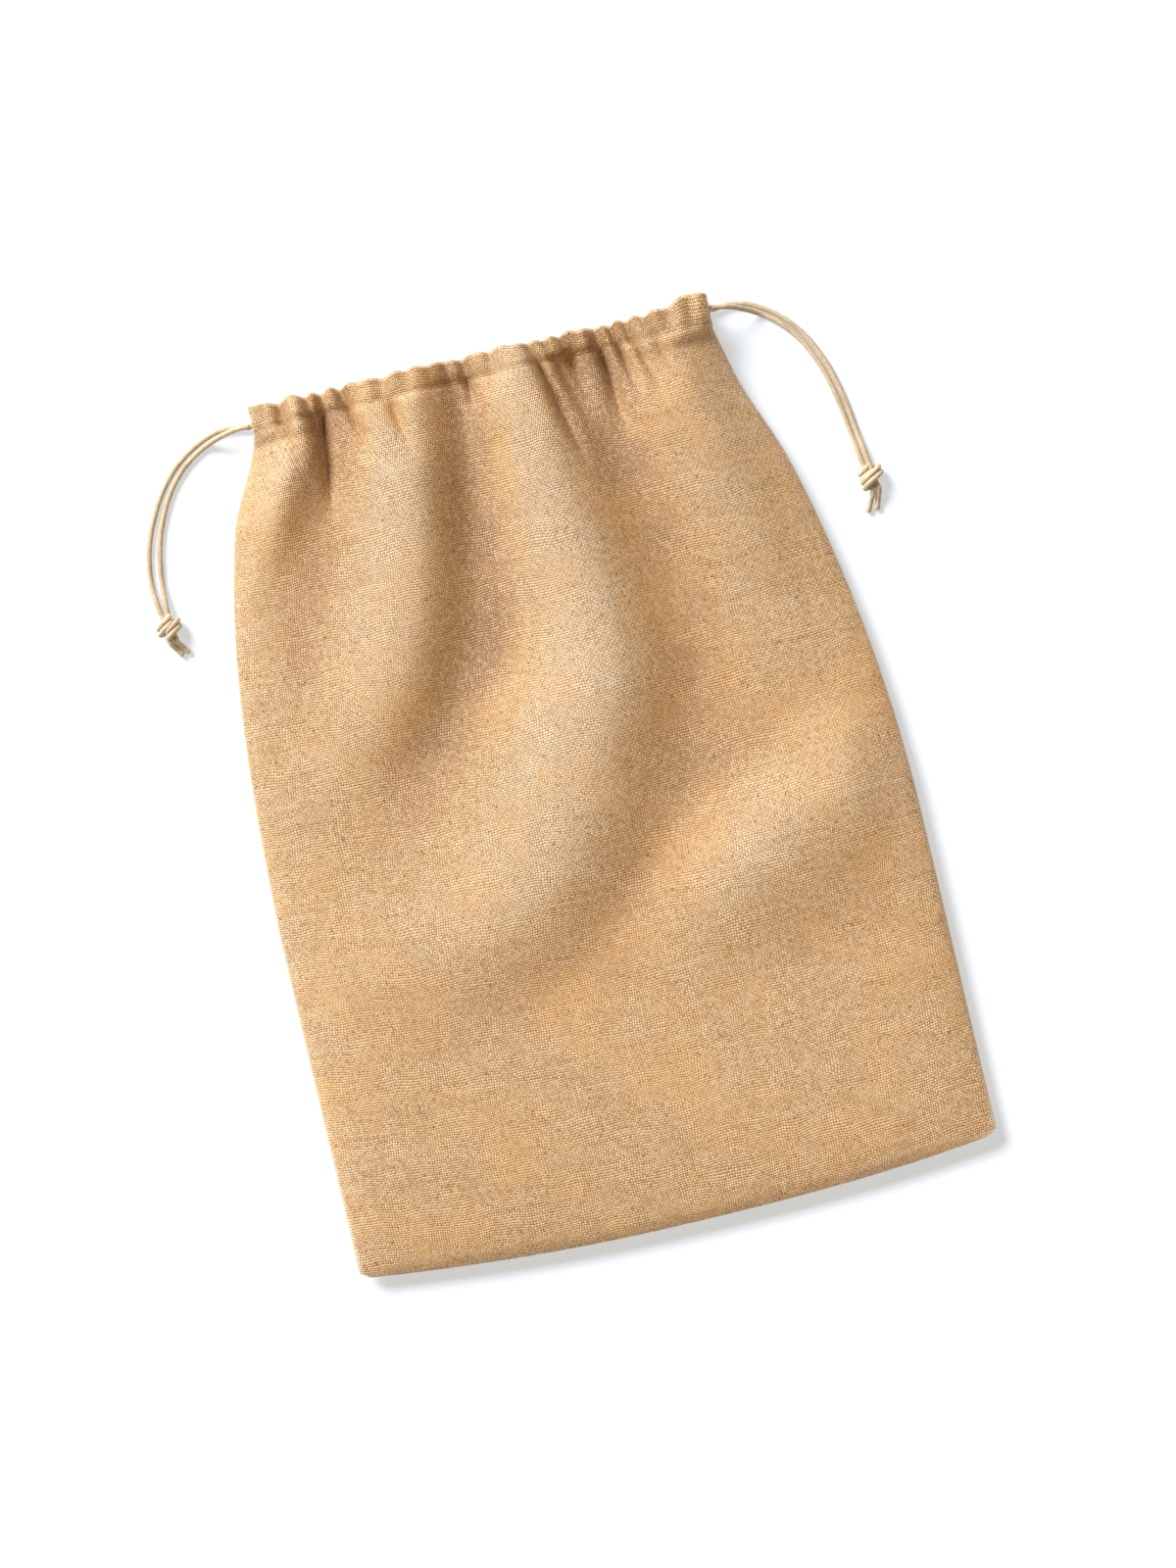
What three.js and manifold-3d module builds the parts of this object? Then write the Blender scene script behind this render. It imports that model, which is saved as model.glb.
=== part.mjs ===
// A drawstring gift pouch in woven jute, lying empty on its back with its mouth half gathered.
// Units are millimetres. +X points to the pouch's right, +Y towards its mouth, +Z up from the
// surface that it lies on. The origin is on that surface, under the middle of the pouch.

import * as THREE from 'three';
import { mergeVertices } from 'three/addons/utils/BufferGeometryUtils.js';
import Module from 'manifold-3d';

const wasm = await Module();
wasm.setup();

// Pouch body
const pouchLength = 413; // mouth edge to the middle of the bottom seam
const pouchWidth = 301; // side seam to side seam, below the gathers
const mouthWidth = 217; // the same cloth, gathered on its drawcords
const gatherLength = 240; // channel to the place where the pouch has its full width
const bottomBow = 9.5; // the bottom seam's middle lies this far below its ends
const cornerRadius = 5;
const clothThickness = 1;
const seamHeight = 7.5; // side and bottom seams above the surface
const bellyRise = 16.5; // front panel above the seams, at its highest
const bellyDistance = 150; // channel to the place where the front panel is highest
const bottomTaper = 110; // length over which the front panel comes down to the bottom seam
const pieceGap = 0.3; // between neighbouring pieces

// Drawcords and the channels that hold them
const cordDiameter = 2.6;
const cordClearance = 0.3; // around a cord in its channel
const cordGap = 1.4; // between the two cords in one channel
const channelHeight = 13.4;
const channelSeam = 3.1; // stitched edge below the channel's hollow
const foldRadius = 1.5;
const mouthGap = 7.4; // between the front and back channels
const turnClearance = 1; // from a cord's turn to the channel's open end
const exitClearance = 1.8; // from the channel's open end to where a free end can swing
const strandGap = 0.3; // between the two strands of a free end
const dropLength = 26; // length over which a free end comes down to the surface
const knotRise = 14; // length over which its strands rise again to the knot
const knotLength = 11.5;
const knotWidth = 12.5;
const knotHeight = 9;

// Seam allowances, threads and bar tacks
const allowanceWidth = 10;
const allowanceClearance = 2.2; // from the inside of the cloth
const threadDiameter = 0.6;
const threadInset = 2; // stitch line to the edge that it holds
const tackWidth = 0.9;
const tackLength = 3;
const tackHeight = 5;

// Each free end's route, as [outwards, along Y] from its exit. The tip of its outer tail is the
// same kind of offset from the middle of its knot, and its inner tail's tip lies beside that.
const leftRoute = [
  [0, 0], [7.2, 0.7], [14.7, 0.1], [22.2, -2.1], [29.4, -5.8],
  [35.7, -10.4], [41.2, -15.9], [46, -22.3], [50.1, -29.5], [53.5, -36.9],
  [56.1, -44.7], [57.9, -52.9], [58.8, -61.1], [58.8, -68.6], [58.2, -75.5],
];
const rightRoute = [
  [0, 0], [7.3, -0.2], [14.9, -2.2], [21.7, -5.6], [27.7, -9.9],
  [33.1, -15.5], [38, -22.2], [41.7, -29.6], [44.7, -37.3], [46.9, -45.3],
  [48.6, -53.5], [49.8, -61.7], [50.8, -69.9], [51.8, -77.9], [52.8, -85.7],
];
const leftTailTip = [-3, -13.4];
const leftTailSpread = { towards: [-1, 0.2], gap: 0.4 };
const rightTailTip = [-0.3, -15.3];
const rightTailSpread = { towards: [-1, -0.07], gap: 1.7 };
const innerLead = 0.8; // straight start of the tail inside the bend, in cord diameters
const outerLead = 1.3; // and of the one outside it
const leftSplay = 1.1; // extra distance between the left strands, ahead of their knot
const rightSplay = 0;

// Mesh resolution
const panelColumns = 20;
const panelRows = 16;
const seamSteps = 16;
const cordSides = 8;
const threadSides = 6;

// Values that follow from the driving dimensions
const mouthY = pouchLength / 2;
const halfPouch = pouchWidth / 2;
const halfMouth = mouthWidth / 2;
const cordRadius = cordDiameter / 2;
const threadRadius = threadDiameter / 2;
const strandSpacing = cordDiameter + strandGap;
const channelDepth = cordDiameter + 2 * (cordClearance + clothThickness);
const backChannelZ = channelDepth / 2;
const frontChannelZ = backChannelZ + channelDepth + mouthGap;
const hollowHigh = mouthY - clothThickness;
const hollowLow = mouthY - channelHeight + channelSeam;
const leftCordY = hollowLow + cordClearance + cordRadius; // the cord next to the channel's seam
const rightCordY = leftCordY + cordDiameter + cordGap;
const panelTop = channelHeight + pieceGap; // distance of the panels' top edge from the mouth
const mouthRise = frontChannelZ + channelDepth / 2 - seamHeight - pieceGap / 2;
const backDrop = seamHeight - pieceGap / 2;
const exitX = halfMouth + exitClearance;
const allowanceInset = clothThickness + allowanceClearance;

const jute = new THREE.MeshStandardMaterial({ color: 0xcda36c, roughness: 0.95, metalness: 0 });
const turning = new THREE.MeshStandardMaterial({ color: 0xb98d57, roughness: 0.95, metalness: 0 });
const thread = new THREE.MeshStandardMaterial({ color: 0xe6d3ae, roughness: 0.8, metalness: 0 });
const cotton = new THREE.MeshStandardMaterial({ color: 0xdcc093, roughness: 0.6, metalness: 0 });

const pouch = new THREE.Group();

function addPiece(name, geometry, material) {
  const mesh = new THREE.Mesh(geometry, material);
  mesh.name = name;
  pouch.add(mesh);
  return mesh;
}

// ---- Outline and loft of the cloth ----

// Half the pouch's width at a distance from the mouth edge: narrow at the gathers, flaring to
// the full width, with a small round at the bottom corner.
function halfWidth(distance) {
  const along = THREE.MathUtils.clamp((distance - channelHeight) / gatherLength, 0, 1);
  const flare = halfPouch - (halfPouch - halfMouth) * (1 - along) ** 2;
  const toCorner = pouchLength - bottomBow - distance;
  const bite = THREE.MathUtils.clamp(cornerRadius - toCorner, 0, cornerRadius);
  return flare - cornerRadius + Math.sqrt(cornerRadius ** 2 - bite ** 2);
}

// Distance from the mouth edge to the bottom seam, across the pouch from -1 to 1.
function seamDistance(across) {
  return pouchLength - bottomBow * across ** 2;
}

// How fully the cloth stands away from the seams, from 0 at an edge to 1 in the middle.
function loft(across, toBottom) {
  const fromSides = Math.sqrt(1 - across ** 4);
  const fromBottom = Math.sqrt(1 - (1 - Math.min(toBottom / bottomTaper, 1)) ** 2);
  return Math.min(fromSides, fromBottom);
}

// A point of the front panel. The inset is 0 on its outside and the cloth's thickness inside.
function frontPoint(across, down, inset) {
  const bottom = seamDistance(across) - inset;
  const distance = THREE.MathUtils.lerp(panelTop, bottom, down);
  const swell = THREE.MathUtils.smoothstep(distance, panelTop, bellyDistance);
  const rise = THREE.MathUtils.lerp(mouthRise, bellyRise, swell) - inset;
  const z = seamHeight + pieceGap / 2 + rise * loft(across, bottom - distance);
  return new THREE.Vector3(across * (halfWidth(distance) - inset), mouthY - distance, z);
}

// A point of the back panel, which lies flat on the surface except near its seams.
function backPoint(across, down, inset) {
  const bottom = seamDistance(across) - inset;
  const distance = THREE.MathUtils.lerp(panelTop, bottom, down);
  const fall = Math.min(1, 1.25 * loft(across, bottom - distance));
  const z = seamHeight - pieceGap / 2 - (backDrop - inset) * fall;
  return new THREE.Vector3(across * (halfWidth(distance) - inset), mouthY - distance, z);
}

// ---- Geometry helpers ----

// A closed sheet between two grids of points. Rows run away from the first one with the columns
// from left to right, and the upper grid's faces point up.
function closedSheet(columns, rows, upperPoint, lowerPoint) {
  const positions = [];
  const faces = [];
  const stride = columns + 1;
  const layer = stride * (rows + 1);
  for (const pointAt of [upperPoint, lowerPoint]) {
    for (let row = 0; row <= rows; row += 1) {
      for (let column = 0; column <= columns; column += 1) {
        positions.push(...pointAt(column / columns, row / rows).toArray());
      }
    }
  }
  const addQuad = (a, b, c, d) => faces.push(a, b, c, a, c, d);
  for (let row = 0; row < rows; row += 1) {
    for (let column = 0; column < columns; column += 1) {
      const a = row * stride + column;
      addQuad(a, a + stride, a + stride + 1, a + 1);
      addQuad(a + layer, a + layer + 1, a + layer + stride + 1, a + layer + stride);
    }
  }
  for (let column = 0; column < columns; column += 1) {
    const last = rows * stride + column;
    addQuad(column, column + 1, column + 1 + layer, column + layer);
    addQuad(last + 1, last, last + layer, last + 1 + layer);
  }
  for (let row = 0; row < rows; row += 1) {
    const left = row * stride;
    const right = left + columns;
    addQuad(left + stride, left, left + layer, left + stride + layer);
    addQuad(right, right + stride, right + stride + layer, right + layer);
  }
  const geometry = new THREE.BufferGeometry();
  geometry.setAttribute('position', new THREE.Float32BufferAttribute(positions, 3));
  geometry.setIndex(faces);
  geometry.computeVertexNormals();
  return geometry;
}

// A round bar of a cord or thread along a curve.
function roundBar(curve, radius, sides, steps) {
  const section = new THREE.Shape();
  for (let side = 0; side < sides; side += 1) {
    const angle = (side / sides) * 2 * Math.PI;
    const corner = [radius * Math.cos(angle), radius * Math.sin(angle)];
    if (side === 0) section.moveTo(...corner);
    else section.lineTo(...corner);
  }
  return new THREE.ExtrudeGeometry(section, { steps, extrudePath: curve, bevelEnabled: false });
}

function toManifold(geometry) {
  const plain = geometry.clone();
  plain.deleteAttribute('normal');
  plain.deleteAttribute('uv');
  const merged = mergeVertices(plain);
  const vertProperties = new Float32Array(merged.attributes.position.array);
  const triVerts = new Uint32Array(merged.index.array);
  return new wasm.Manifold(new wasm.Mesh({ numProp: 3, vertProperties, triVerts }));
}

function fromManifold(manifold) {
  const mesh = manifold.getMesh();
  const geometry = new THREE.BufferGeometry();
  geometry.setAttribute('position', new THREE.BufferAttribute(mesh.vertProperties, 3));
  geometry.setIndex(new THREE.BufferAttribute(mesh.triVerts, 1));
  geometry.computeVertexNormals();
  return geometry;
}

// ---- Cloth panels ----

function addPanels() {
  const acrossAt = (fraction) => Math.sin((fraction - 0.5) * Math.PI);
  const downAt = (fraction) => Math.sin((fraction * Math.PI) / 2);
  const panel = (pointOf, upperInset, lowerInset) => closedSheet(
    panelColumns,
    panelRows,
    (column, row) => pointOf(acrossAt(column), downAt(row), upperInset),
    (column, row) => pointOf(acrossAt(column), downAt(row), lowerInset),
  );
  addPiece('front_panel', panel(frontPoint, 0, clothThickness), jute);
  addPiece('back_panel', panel(backPoint, clothThickness, 0), jute);
}

// ---- Channels along the mouth ----

// Outline of a channel across its length: along Y as the shape's x, up as its y.
function roundedOutline(Outline, lowY, highY, halfDepth, radius) {
  const outline = new Outline();
  outline.moveTo(lowY + radius, -halfDepth);
  outline.lineTo(highY - radius, -halfDepth);
  outline.absarc(highY - radius, -halfDepth + radius, radius, -Math.PI / 2, 0);
  outline.absarc(highY - radius, halfDepth - radius, radius, 0, Math.PI / 2);
  outline.lineTo(lowY + radius, halfDepth);
  outline.absarc(lowY + radius, halfDepth - radius, radius, Math.PI / 2, Math.PI);
  outline.absarc(lowY + radius, -halfDepth + radius, radius, Math.PI, 1.5 * Math.PI);
  return outline;
}

// A stitched tube of cloth, open at both ends. Its wall towards the mouth stops short of the
// ends, where the turn of a cord passes from the front channel to the back one.
function channelGeometry(centreZ, wallSide) {
  const lowY = mouthY - channelHeight;
  const hollowDepth = channelDepth / 2 - clothThickness;
  const section = roundedOutline(THREE.Shape, lowY, mouthY, channelDepth / 2, foldRadius);
  section.holes.push(roundedOutline(THREE.Path, hollowLow, hollowHigh, hollowDepth, foldRadius / 2));
  const options = { depth: mouthWidth, steps: 1, curveSegments: 4, bevelEnabled: false };
  const tube = new THREE.ExtrudeGeometry(section, options);
  tube.applyMatrix4(new THREE.Matrix4().makeBasis(
    new THREE.Vector3(0, 1, 0),
    new THREE.Vector3(0, 0, 1),
    new THREE.Vector3(1, 0, 0),
  ));
  tube.translate(-halfMouth, 0, centreZ);

  const turnDepth = (frontChannelZ - backChannelZ) / 2 + cordDiameter + turnClearance + cordClearance;
  let channel = toManifold(tube);
  for (const side of [-1, 1]) {
    const notch = new THREE.BoxGeometry(2 * turnDepth, hollowHigh - hollowLow, channelDepth / 2);
    const notchZ = centreZ + wallSide * (hollowDepth + channelDepth / 4 - foldRadius / 4);
    notch.translate(side * halfMouth, (hollowLow + hollowHigh) / 2, notchZ);
    channel = channel.subtract(toManifold(notch));
  }
  return fromManifold(channel);
}

function addChannels() {
  addPiece('front_casing', channelGeometry(frontChannelZ, -1), jute);
  addPiece('back_casing', channelGeometry(backChannelZ, 1), jute);
}

// ---- Seam allowances, turned to the inside ----

function sideAllowance(side) {
  const start = panelTop + threadInset;
  const end = pouchLength - bottomBow - allowanceInset - allowanceWidth - pieceGap - threadInset;
  const pointAt = (z) => (column, row) => {
    const distance = THREE.MathUtils.lerp(start, end, row);
    const inset = allowanceInset + allowanceWidth * (side < 0 ? column : 1 - column);
    return new THREE.Vector3(side * (halfWidth(distance) - inset), mouthY - distance, z);
  };
  const upper = pointAt(seamHeight + clothThickness);
  const lower = pointAt(seamHeight - clothThickness);
  return closedSheet(1, seamSteps, upper, lower);
}

function bottomSeamY(x, inset) {
  return mouthY - seamDistance(x / halfPouch) + inset;
}

const bottomReach = halfPouch - allowanceInset - allowanceWidth; // half the bottom allowance's length

function bottomAllowance() {
  const pointAt = (z) => (column, row) => {
    const x = THREE.MathUtils.lerp(-bottomReach, bottomReach, column);
    return new THREE.Vector3(x, bottomSeamY(x, allowanceInset + allowanceWidth * (1 - row)), z);
  };
  const upper = pointAt(seamHeight + clothThickness);
  const lower = pointAt(seamHeight - clothThickness);
  return closedSheet(seamSteps, 1, upper, lower);
}

function addAllowances() {
  addPiece('left_seam_allowance', sideAllowance(-1), turning);
  addPiece('right_seam_allowance', sideAllowance(1), turning);
  addPiece('bottom_seam_allowance', bottomAllowance(), turning);
}

// ---- Stitch lines ----

function stitchLine(pointAt, steps) {
  const points = [];
  for (let step = 0; step <= steps; step += 1) points.push(pointAt(step / steps));
  return roundBar(new THREE.CatmullRomCurve3(points), threadRadius, threadSides, steps);
}

function sideStitching(side) {
  const start = panelTop + 2 * threadInset;
  const end = pouchLength - bottomBow - allowanceInset - allowanceWidth - 2 * threadInset;
  const z = seamHeight + clothThickness + pieceGap + threadRadius;
  return stitchLine((fraction) => {
    const distance = THREE.MathUtils.lerp(start, end, fraction);
    const x = side * (halfWidth(distance) - allowanceInset - threadInset);
    return new THREE.Vector3(x, mouthY - distance, z);
  }, seamSteps);
}

function bottomStitching() {
  const z = seamHeight + clothThickness + pieceGap + threadRadius;
  return stitchLine((fraction) => {
    const x = THREE.MathUtils.lerp(-1, 1, fraction) * (bottomReach - threadInset);
    return new THREE.Vector3(x, bottomSeamY(x, allowanceInset + threadInset), z);
  }, seamSteps);
}

function channelStitching(z) {
  const y = mouthY - channelHeight + threadInset;
  const reach = halfMouth - threadInset;
  return stitchLine((fraction) => new THREE.Vector3(THREE.MathUtils.lerp(-reach, reach, fraction), y, z), 2);
}

function addStitching() {
  const proud = channelDepth / 2 + pieceGap + threadRadius;
  addPiece('front_casing_stitching', channelStitching(frontChannelZ + proud), thread);
  addPiece('back_casing_stitching', channelStitching(backChannelZ + proud), thread);
  addPiece('left_side_stitching', sideStitching(-1), thread);
  addPiece('right_side_stitching', sideStitching(1), thread);
  addPiece('bottom_stitching', bottomStitching(), thread);
}

// Bar tacks lock the side seams where they stop, just below the channels' open ends.
function addBarTacks() {
  for (const [side, name] of [[-1, 'left_bar_tack'], [1, 'right_bar_tack']]) {
    const tack = new THREE.BoxGeometry(tackWidth, tackLength, tackHeight);
    const distance = panelTop + tackLength;
    const x = side * (halfWidth(distance) + pieceGap + tackWidth / 2);
    addPiece(name, tack, thread).position.set(x, mouthY - distance + tackLength / 2, seamHeight);
  }
}

// ---- Drawcords ----

// The part of a drawcord inside the pouch: along the front channel, round a half turn at the far
// corner and back along the back channel. A third of the parameter goes to each stretch.
class ChannelRoute extends THREE.Curve {
  constructor(exitSide, y) {
    super();
    this.exitSide = exitSide;
    this.y = y;
    this.startX = exitX - cordRadius - pieceGap;
    this.turnRadius = (frontChannelZ - backChannelZ) / 2;
    this.turnX = halfMouth - turnClearance - cordRadius - this.turnRadius;
  }

  getPoint(t, target = new THREE.Vector3()) {
    const stretch = THREE.MathUtils.clamp(3 * t, 0, 3);
    let x = this.turnX;
    let z = (frontChannelZ + backChannelZ) / 2;
    if (stretch < 1) {
      x = THREE.MathUtils.lerp(-this.startX, this.turnX, stretch);
      z = frontChannelZ;
    } else if (stretch > 2) {
      x = THREE.MathUtils.lerp(this.turnX, -this.startX, stretch - 2);
      z = backChannelZ;
    } else {
      const angle = (stretch - 1) * Math.PI;
      x += this.turnRadius * Math.sin(angle);
      z += this.turnRadius * Math.cos(angle);
    }
    return target.set(-this.exitSide * x, this.y, z);
  }

  getUtoTmapping(u) {
    return u;
  }
}

// Points of one strand of a free end. It leaves its channel, comes down to the surface beside
// the other strand, and rises a little where it enters the knot.
function strandPoints(cord, layer) {
  const flat = cord.route.map(([outwards, along]) => (
    new THREE.Vector3(cord.side * (exitX + outwards), cord.y + along, 0)
  ));
  const travelled = [0];
  for (let index = 1; index < flat.length; index += 1) {
    travelled.push(travelled[index - 1] + flat[index].distanceTo(flat[index - 1]));
  }
  const total = travelled[travelled.length - 1];
  const startZ = layer > 0 ? frontChannelZ : backChannelZ;
  return flat.map((point, index) => {
    const before = flat[Math.max(index - 1, 0)];
    const after = flat[Math.min(index + 1, flat.length - 1)];
    const heading = after.clone().sub(before).normalize();
    const sideways = new THREE.Vector3(-heading.y, heading.x, 0);
    const here = travelled[index];
    const apart = THREE.MathUtils.smoothstep(here, 0, dropLength / 2) * strandSpacing;
    const splay = cord.splay * Math.sin(Math.PI * (here / total) ** 3);
    const drop = (startZ - cordRadius) * (1 - THREE.MathUtils.smoothstep(here, 0, dropLength));
    const rise = (knotHeight / 2 - cordRadius) * THREE.MathUtils.smoothstep(here, total - knotRise, total);
    const offset = layer * -cord.side * (apart / 2 + splay);
    const place = point.clone().addScaledVector(sideways, offset);
    place.z = cordRadius + drop + rise;
    return place;
  });
}

// A strand starts with a ball at its exit, so that the free end can swing there.
function strandGeometry(cord, layer) {
  const points = strandPoints(cord, layer);
  const steps = points.length + 7;
  const bar = roundBar(new THREE.CatmullRomCurve3(points), cordRadius, cordSides, steps);
  const ball = new THREE.SphereGeometry(cordRadius, cordSides, cordSides - 2);
  ball.translate(...points[0].toArray());
  return fromManifold(toManifold(bar).add(toManifold(ball)));
}

// Where the knot lies, and which way the cord runs through it.
function knotPlace(cord) {
  const [before, last] = cord.route.slice(-2).map(([outwards, along]) => (
    new THREE.Vector3(cord.side * (exitX + outwards), cord.y + along, knotHeight / 2)
  ));
  const heading = last.clone().sub(before).normalize();
  const centre = last.clone().addScaledVector(heading, knotLength / 2 + pieceGap);
  return { centre, heading };
}

function knotGeometry() {
  const profile = [
    [0, -0.5], [0.6, -0.5], [1, -0.22], [1, 0.22], [0.6, 0.5], [0, 0.5],
  ].map(([radius, along]) => new THREE.Vector2(radius, along * knotLength));
  const knot = new THREE.LatheGeometry(profile, 16);
  knot.scale(knotWidth / 2, 1, knotHeight / 2);
  return knot;
}

// The tip of a tail, as an offset from its knot: the inner one lies a cord and a gap further in.
function tailTip(cord, layer) {
  const apart = layer > 0 ? cordDiameter + cord.tailSpread.gap : 0;
  return cord.tailTip.map((offset, axis) => offset + apart * cord.tailSpread.towards[axis]);
}

function tailGeometry(cord, layer) {
  const { centre, heading } = knotPlace(cord);
  const sideways = new THREE.Vector3(-heading.y, heading.x, 0);
  const start = centre.clone().addScaledVector(heading, knotLength / 2 + pieceGap);
  start.addScaledVector(sideways, (layer * -cord.side * strandSpacing) / 2);
  const [outwards, along] = tailTip(cord, layer);
  const tip = new THREE.Vector3(centre.x + cord.side * outwards, centre.y + along, cordRadius);
  const lead = cordDiameter * (layer > 0 ? innerLead : outerLead);
  const straight = start.clone().addScaledVector(heading, lead);
  const middle = straight.clone().lerp(tip, 0.5);
  middle.z = THREE.MathUtils.lerp(start.z, tip.z, 0.7);
  const route = new THREE.CatmullRomCurve3([start, straight, middle, tip]);
  return roundBar(route, cordRadius, cordSides, 6);
}

function addDrawcord(cord) {
  const loop = roundBar(new ChannelRoute(cord.side, cord.y), cordRadius, cordSides, 24);
  addPiece(`${cord.name}_cord_loop`, loop, cotton);
  for (const [layer, place] of [[1, 'front'], [-1, 'back']]) {
    addPiece(`${cord.name}_${place}_strand`, strandGeometry(cord, layer), cotton);
    addPiece(`${cord.name}_${place}_tail`, tailGeometry(cord, layer), cotton);
  }
  const { centre, heading } = knotPlace(cord);
  const knot = addPiece(`${cord.name}_knot`, knotGeometry(), cotton);
  knot.position.copy(centre);
  knot.rotation.z = Math.atan2(-heading.x, heading.y);
}

addPanels();
addChannels();
addAllowances();
addStitching();
addBarTacks();
addDrawcord({
  name: 'left',
  side: -1,
  y: leftCordY,
  route: leftRoute,
  tailTip: leftTailTip,
  tailSpread: leftTailSpread,
  splay: leftSplay,
});
addDrawcord({
  name: 'right',
  side: 1,
  y: rightCordY,
  route: rightRoute,
  tailTip: rightTailTip,
  tailSpread: rightTailSpread,
  splay: rightSplay,
});

export default pouch;
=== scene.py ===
"""A drawstring gift pouch in woven jute, lying on its back with its mouth half gathered.

Shapes are worked out in millimetres in the CAD frame (+X to the pouch's right, +Y towards its mouth,
+Z up from the surface) and become metres when a mesh is made.
"""

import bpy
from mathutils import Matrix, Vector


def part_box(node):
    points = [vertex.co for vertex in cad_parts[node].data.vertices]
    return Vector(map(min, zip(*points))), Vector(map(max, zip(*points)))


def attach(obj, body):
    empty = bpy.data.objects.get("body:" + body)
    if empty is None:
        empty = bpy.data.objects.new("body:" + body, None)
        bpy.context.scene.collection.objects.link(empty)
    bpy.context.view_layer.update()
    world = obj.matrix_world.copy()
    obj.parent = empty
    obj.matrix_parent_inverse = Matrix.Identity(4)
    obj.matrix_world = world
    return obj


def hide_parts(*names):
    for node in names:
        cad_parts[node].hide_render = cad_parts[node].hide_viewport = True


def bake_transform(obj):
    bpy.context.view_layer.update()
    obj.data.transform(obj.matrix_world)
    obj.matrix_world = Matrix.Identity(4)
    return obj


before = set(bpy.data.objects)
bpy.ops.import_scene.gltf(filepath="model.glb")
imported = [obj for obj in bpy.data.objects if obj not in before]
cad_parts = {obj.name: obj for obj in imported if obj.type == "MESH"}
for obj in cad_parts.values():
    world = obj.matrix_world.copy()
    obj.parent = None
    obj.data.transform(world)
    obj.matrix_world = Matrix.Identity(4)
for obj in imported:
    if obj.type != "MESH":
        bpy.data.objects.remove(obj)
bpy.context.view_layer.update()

import math

import bpy
import numpy as np
from mathutils import Matrix, Vector

MM = 0.001


def node_box(name):
    """A CAD node's lowest and highest corners, in millimetres."""
    low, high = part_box(name)
    return np.array(low) / MM, np.array(high) / MM


# ---- Sizes, in millimetres ----

CASING_LOW, CASING_HIGH = node_box("front_casing")
PANEL_LOW, PANEL_HIGH = node_box("front_panel")
TACK_LOW, TACK_HIGH = node_box("left_bar_tack")
MOUTH_Y = CASING_HIGH[1]
HALF_MOUTH = CASING_HIGH[0]
HALF_POUCH = PANEL_HIGH[0]
POUCH_LENGTH = MOUTH_Y - PANEL_LOW[1]
SEAM_HEIGHT = (TACK_LOW[2] + TACK_HIGH[2]) / 2
CHANNEL_HEIGHT = CASING_HIGH[1] - CASING_LOW[1]
CHANNEL_DEPTH = CASING_HIGH[2] - CASING_LOW[2]
FRONT_CHANNEL_Z = (CASING_LOW[2] + CASING_HIGH[2]) / 2
BACK_CHANNEL_Z = CHANNEL_DEPTH / 2

GATHER_LENGTH = 240  # from the casing down to the pouch's full width
BOTTOM_BOW = 9.5  # how far the bottom's middle lies below its corners
CORNER_RADIUS = 4
CORNER_DROP = 2.2  # how much lower the right bottom corner lies than an even outline
LEFT_FULLNESS = 6  # how far the left side bulges past an even outline, below the mouth
RIGHT_HOLLOW = 3.2  # how far the right side stays inside one
EAR = 3.6  # how far the casing's right corner stands out
CLOTH = 0.9  # thickness of the cloth
BELLY_RISE = 7.8  # middle of the front cloth above the seams
BELLY_DISTANCE = 150  # mouth edge to the place where that height is reached
LOFT_POWER = 7  # how far towards the sides the front cloth stays level
MOUTH_LOFT_POWER = 21  # the same at the mouth
BOTTOM_TAPER = 110  # from the bottom edge up to the cloth's full height
PUFF = 4.6  # how far the gathered casing stands above a flat one
BULGE = 0.8  # how much that differs along the mouth
PINCH = 0.75  # depth of the stitched groove
SEAM_GAP = -0.08  # half the space between the front and back cloth where they are sewn together
SEAM_OPEN = 9.5  # the channels' ends are fully open this far from the mouth edge
SEAM_CLOSED = 20  # and the side seams are closed from here
STITCH_DISTANCE = 11.2  # mouth edge to the casing's stitch line
TURNED_DISTANCES = (CHANNEL_HEIGHT, STITCH_DISTANCE, 9.0, 6.0, 3.6)  # rows of the turned-in casing
ROLL_RADIUS = 1.9  # of the cloth over the mouth's edge
ROLL_SWEEP = 75  # degrees each way
ROLL_ROWS = 7
TURNED_ROWS = len(TURNED_DISTANCES) + ROLL_ROWS  # rows before the outer cloth's first
ROLL_INSET = 0.6  # from the mouth's edge to the roll's start
STITCH_LIFT = 1.0  # how far the stitches draw the turned-in casing up
CLOSE_ROWS = 62  # the cloth's rows lie closer together down to here
BACK_CLOTH = 900  # the back is cut this far down the cloth from the front
FOLD_HIGHLIGHT_PAINT = 0.10  # painted highlight for each millimetre of a fold's height
CREASE_SHADE_PAINT = 0.30  # painted shade for each millimetre of a crease's depth
FOLD_SOFTENING = 12  # passes
# passes over the painted light and shade
LIGHT_PAINT_SOFTENING = 20

ALLOWANCE_WIDTH = 10
ALLOWANCE_INSET = 2.4  # from the seam to the allowance's nearer edge
ALLOWANCE_THICKNESS = 1.8  # two layers of cloth
ALLOWANCE_START = CHANNEL_HEIGHT + 6  # mouth edge to the top of the side allowances
ALLOWANCE_END_GAP = 10  # between the side allowances and the bottom one
SEAM_STITCH_INSET = 1.5  # from that edge to the stitches
STITCH_LENGTH = 2.9
STITCH_GAP = 0.8
THREAD_RADIUS = 0.27
TACK_WRAPS = 6
TACK_REACH = 0.8  # half the width of a bar tack's wraps

CORD_RADIUS = 1.3
STRAND_SPACING = 2.9  # between the middles of a drawcord's two strands
DROP_LENGTH = 26  # along a strand, from its channel down to the surface
KNOT_RISE = 14  # along a strand, from the surface up into the knot
KNOT_LENGTH = 11.5
KNOT_WIDTH = 12.5
KNOT_HEIGHT = 9
KNOT_TURNS = 1.4  # that each strand makes round the knot's middle

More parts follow.
